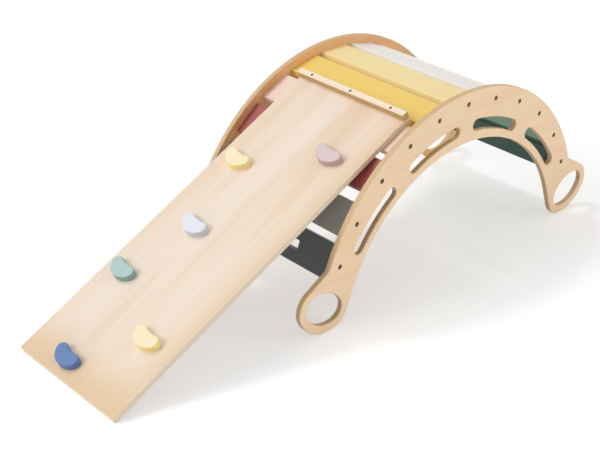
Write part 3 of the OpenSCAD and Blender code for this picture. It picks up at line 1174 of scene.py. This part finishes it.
@dataclass
class Ramp:
    """The climbing ramp: its board, strip, hook batten, holds and screws.

    Attributes:
        screw_d: diameter of a wood screw's shank.
        screw_head_d: diameter of its head.
        head_edge: height of the head's upright edge.
        cross: width of the cross recess in the head.
        cross_depth: depth of that recess.
        point: length of the screw's point.
        plain: how far its thread stays from the top of the head and from the tip.
        pitch: distance from one turn of the thread to the next.
        ridge: height of the thread over its core.
        holds: name of each hold's paint, its colour on top and the darker, warmer colour of its
            sides, which is painted shade and light bounced off the board, from the toe up.
    """

    screw_d: float = 4.0 * MM
    screw_head_d: float = 8.0 * MM
    head_edge: float = 0.15 * MM
    cross: float = 4.6 * MM
    cross_depth: float = 1.9 * MM
    point: float = 4.0 * MM
    plain: Tuple[float, float] = (7.0 * MM, 5.0 * MM)
    pitch: float = 1.8 * MM
    ridge: float = 0.4 * MM
    holds: Tuple[Tuple[str, str, str], ...] = (
        # Each hold's last colour is painted shade with warm light bounced off the board
        ("blue", "#597cb2", "#5774ab"),
        ("cream", "#f4e6c1", "#f4de90"),
        ("mint", "#abc5c4", "#83a69e"),
        ("ice", "#dfe2eb", "#c7cdd4"),
        ("cream", "#f4e6c1", "#f4de90"),
        ("lilac", "#d6c1c2", "#c1a09c"),
    )

    def __post_init__(self) -> None:
        """Reads the ramp's slope and its normal from the board's own faces."""
        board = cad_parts["ramp_board"].data
        widest = max(board.polygons, key=lambda face: face.area)
        self.out = Vector(widest.normal) * (1 if widest.normal.z > 0 else -1)
        self.slope = math.degrees(math.atan2(-self.out.x, self.out.z))

    def middle_of(self, node: str) -> float:
        """Returns how far a node's middle plane is from the origin, along the ramp's normal."""
        along = node_points(node) @ np.array(self.out)
        return float(along.min() + along.max()) / 2

    def screws(self, name: str, node: str, aim: Vector, finish: Material) -> None:
        """Builds countersunk wood screws in the place of a CAD node's.

        Args:
            name: name of the piece.
            node: CAD node that they stand for.
            aim: direction from their heads into the wood.
            finish: their material.
        """
        solids = node_solids(node)
        way = np.array(aim)
        length = float(np.ptp(solids[0] @ way))
        radius, shank = self.screw_head_d / 2, self.screw_d / 2
        cone = radius - shank
        # Behind the head's cone the thread's core is thinner than the shank, down to a blunt tip
        screw = Fixing(
            "wood_screw",
            (
                (radius - 0.1 * MM, 0.0),
                (radius, self.head_edge),
                (shank, cone + self.head_edge),
                (shank - 0.35 * MM, cone + 3 * MM),
                (shank - 0.45 * MM, length - self.point),
                (0.15 * MM, length),
            ),
            Drive.CROSS,
            self.cross,
            self.cross_depth,
            Thread(self.plain[0], length - sum(self.plain), self.pitch, self.ridge),
        )
        places: List[Vector] = []
        for solid in solids:
            along = solid @ way
            head = solid[along < along.min() + 0.5 * MM]
            places.append(Vector((head.min(0) + head.max(0)) / 2))
        FixingSet(name, screw, places, [aim] * len(places), (node,), "ramp").build(finish)

    def build(self, steel: Material) -> None:
        """Dresses the ramp's CAD nodes and builds its screws.

        Args:
            steel: material of the screws.
        """
        lengthwise = (0.0, self.slope, 0.0)
        low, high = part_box("ramp_board")
        uphill = np.array((self.out.z, 0.0, -self.out.x))
        # The warm part is broader along the near edge, so its middle line lies 50 mm further off
        rim = WarmRim(
            middle=(low.y + high.y) / 2 + 50 * MM,
            start=120 * MM,
            full=270 * MM,
            end=float((node_points("ramp_board") @ uphill).min()),
            end_reach=150 * MM,
            share=0.8,
        )
        board = BirchPly(
            "birch_plywood_ramp",
            Grain(lengthwise, self.middle_of("ramp_board")),
            pale="#eedece",
            warm="#dfbd90",
            fine="#dcc09b",
            edge_light="#ece0cd",
            edge_dark="#d8c6aa",
            band=110 * MM,
            streaks=0.3,
            figure=0.1,
            rim=rim,
        )
        dress("ramp_board", board.build())
        strip = BirchPly(
            "birch_plywood_strip",
            Grain((0.0, self.slope, 90.0), self.middle_of("ramp_top_strip")),
            pale="#f6e4ce",
            warm="#efd5b4",
            fine="#e8caa6",
            edge_light="#d6b37e",
            edge_dark="#a98452",
        )
        dress("ramp_top_strip", strip.build())
        batten = PlainWood("planed_birch_batten", Grain((0.0, 0.0, 90.0)))
        dress("ramp_hook_batten", batten.build())
        for number, (name, top, sides) in enumerate(self.holds, start=1):
            paint = SatinPaint(f"satin_paint_hold_{name}", top, Grain(lengthwise), sides=sides)
            dress(f"hold_{number}", paint.build())
        self.screws("strip_wood_screws", "strip_screws", -self.out, steel)
        self.screws("hold_wood_screws", "hold_screws", self.out, steel)


# ---- The studio ----


@dataclass(frozen=True)
class Studio:
    """A white studio: pale floor, soft light from the left, above and the front, and the camera.

    Attributes:
        floor_size: side of the square floor.
        floor_tone: colour of the floor.
        floor_glow: share of plain light that the camera sees in the floor, which lightens shadows.
        glow_strength: strength of that light.
        sky: strength of the light from all sides.
        eye: place of the camera.
        ahead: direction in which it looks.
        right: its own X axis.
        lens: focal length in millimetres on a sensor 36 mm wide.
    """

    floor_size: float = 40.0
    floor_tone: str = "#f4f4f4"
    floor_glow: float = 0.3
    glow_strength: float = 1.5
    sky: float = 0.52
    eye: Triple = (-2.0167, -2.0288, 1.6957)
    ahead: Triple = (0.60391, 0.63289, -0.48451)
    right: Triple = (0.73023, -0.68296, 0.01807)
    lens: float = 75.26

    def seen(self, tree: Tree) -> Socket:
        """Adds the nodes that tell a view of the white studio from its light.

        Args:
            tree: node tree of the floor or the world.

        Returns:
            1 for a camera ray, a reflection or a ray through glass, and 0 otherwise.
        """
        rays = add_node(tree, "ShaderNodeLightPath").outputs
        seen = rays["Is Camera Ray"]
        for ray in ("Is Glossy Ray", "Is Transmission Ray"):
            seen = add_node(tree, MATH, (seen, rays[ray]), operation="MAXIMUM").outputs[0]
        return seen

    def build_floor(self) -> None:
        """Builds the floor under the feet."""
        form = bmesh.new()
        bmesh.ops.create_grid(form, x_segments=1, y_segments=1, size=self.floor_size / 2)
        floor = as_object(form, "studio_floor")
        material = empty_material("matt_white_floor")
        tree = material.node_tree
        matt = add_node(tree, "ShaderNodeBsdfDiffuse", {"Color": linear(self.floor_tone)})
        inputs = (self.seen(tree), self.floor_glow)
        glow = add_node(tree, MATH, inputs, operation="MULTIPLY").outputs[0]
        light = add_node(tree, "ShaderNodeEmission", {"Strength": self.glow_strength})
        both = add_node(tree, "ShaderNodeMixShader", (glow, matt.outputs[0], light.outputs[0]))
        add_node(tree, "ShaderNodeOutputMaterial", {"Surface": both.outputs[0]})
        floor.data.materials.append(material)

    def build_world(self) -> None:
        """Builds the white background and the light from all sides."""
        world = bpy.data.worlds.new("white_studio")
        bpy.context.scene.world = world
        world.use_nodes = True
        tree = world.node_tree
        tree.nodes.clear()
        strength = add_node(tree, RANGE, (self.seen(tree), 0.0, 1.0, self.sky, 1.0)).outputs[0]
        inputs = {"Color": (1.0, 1.0, 1.0, 1.0), "Strength": strength}
        light = add_node(tree, "ShaderNodeBackground", inputs)
        add_node(tree, "ShaderNodeOutputWorld", {"Surface": light.outputs[0]})

    def add_lamp(self, name: str, toward: Triple, strength: float, softness: float) -> None:
        """Adds a distant soft lamp.

        Args:
            name: name of the lamp.
            toward: direction from the object to the lamp.
            strength: light on a surface that faces it.
            softness: angle in degrees that the lamp fills.
        """
        lamp = bpy.data.lights.new(name, "SUN")
        lamp.energy = strength
        lamp.angle = math.radians(softness)
        holder = linked(name, lamp)
        holder.rotation_mode = "QUATERNION"
        holder.rotation_quaternion = Vector(toward).to_track_quat("Z", "Y")

    def build_camera(self) -> None:
        """Sets the camera where the photograph was taken from."""
        ahead, right = Vector(self.ahead).normalized(), Vector(self.right).normalized()
        up = right.cross(ahead).normalized()
        lens = bpy.data.cameras.new("camera")
        lens.lens = self.lens
        lens.sensor_width = 36.0
        camera = linked("camera", lens)
        camera.matrix_world = Matrix.Translation(self.eye) @ Matrix(
            (
                (right.x, up.x, -ahead.x),
                (right.y, up.y, -ahead.y),
                (right.z, up.z, -ahead.z),
            )
        ).to_4x4()
        bpy.context.scene.camera = camera

    def build(self) -> None:
        """Builds the whole studio."""
        self.build_floor()
        self.build_world()
        self.add_lamp("softbox_left", (-0.8, 0.35, 0.5), strength=1.2, softness=30.0)
        self.add_lamp("lamp_overhead", (-0.175, 0.459, 0.871), strength=0.6, softness=10.0)
        self.add_lamp("softbox_front", (0.5, -0.85, 0.28), strength=0.78, softness=30.0)
        self.build_camera()
        bpy.context.scene.view_settings.view_transform = "Standard"


def main() -> None:
    logging.basicConfig(level=logging.INFO, format="%(name)s: %(message)s")
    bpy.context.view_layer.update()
    steel = ZincPlatedSteel().build()
    ArchSides().dress()
    Slats().dress()
    SlatFixings().build(steel)
    Ramp().build(steel)
    Studio().build()
    bpy.context.view_layer.update()


if __name__ == "__main__":
    main()
